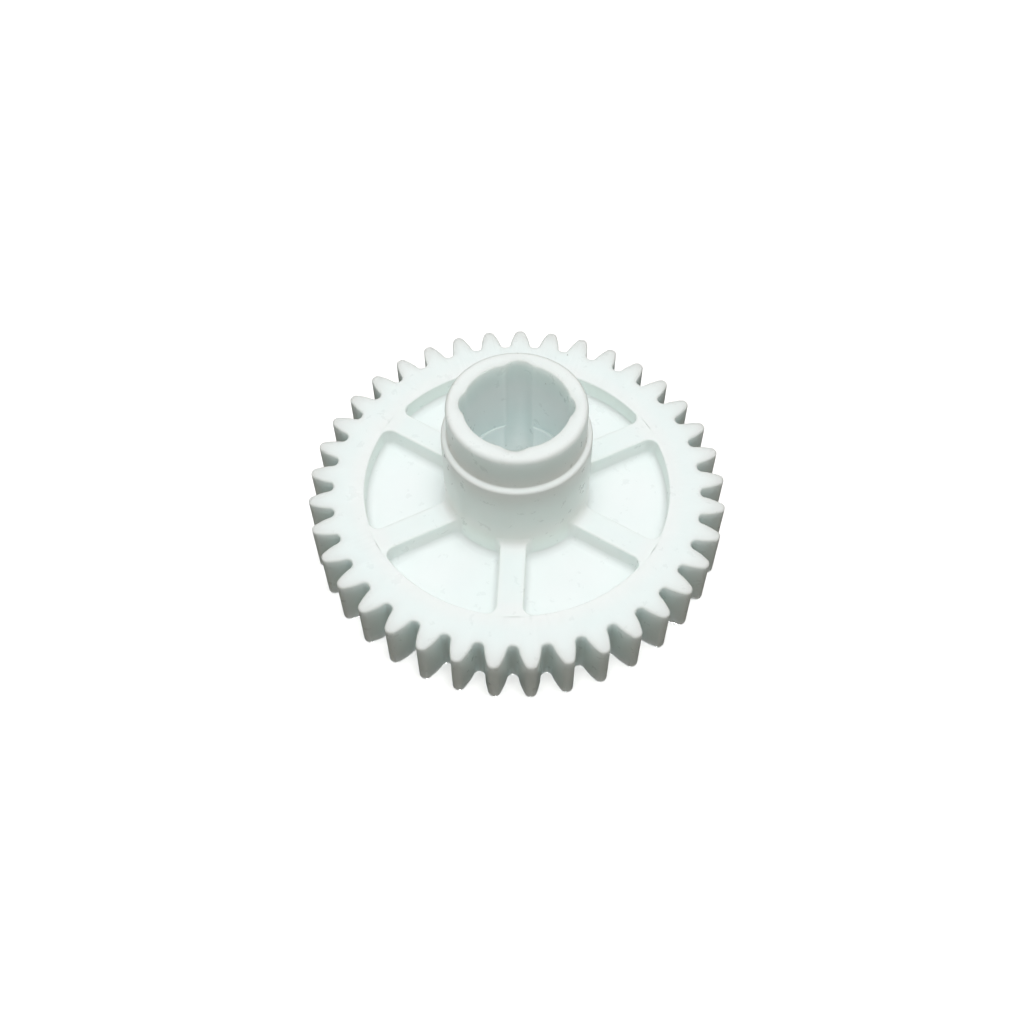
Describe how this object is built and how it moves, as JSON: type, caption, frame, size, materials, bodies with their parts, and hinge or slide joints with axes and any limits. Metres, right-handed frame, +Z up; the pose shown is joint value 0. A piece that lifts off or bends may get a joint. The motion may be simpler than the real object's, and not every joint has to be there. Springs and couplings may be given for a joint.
{
  "type": "spur gear",
  "caption": "Moulded white plastic spur gear with a ribbed web and a tall stepped hub that has a grooved drive socket.",
  "frame": {"origin": "on the bore's axis, at the gear's bottom face", "axes": "+Z runs up the hub from the bottom face to the neck; two ribs lie along +Y and -Y, the socket's grooves lie along X and Y, and a tooth is turned 1.5 degrees from +Y"},
  "size_m": [0.0584, 0.0584, 0.0256],
  "materials": {
    "white_nylon": "semi-gloss moulded nylon"
  },
  "bodies": {
    "root": {"toothed_rim": "white_nylon", "web_disc": "white_nylon", "upper_ribs": "white_nylon", "lower_ribs": "white_nylon", "hub_barrel": "white_nylon", "hub_neck": "white_nylon", "hub_base": "white_nylon"}
  },
  "joints": []
}
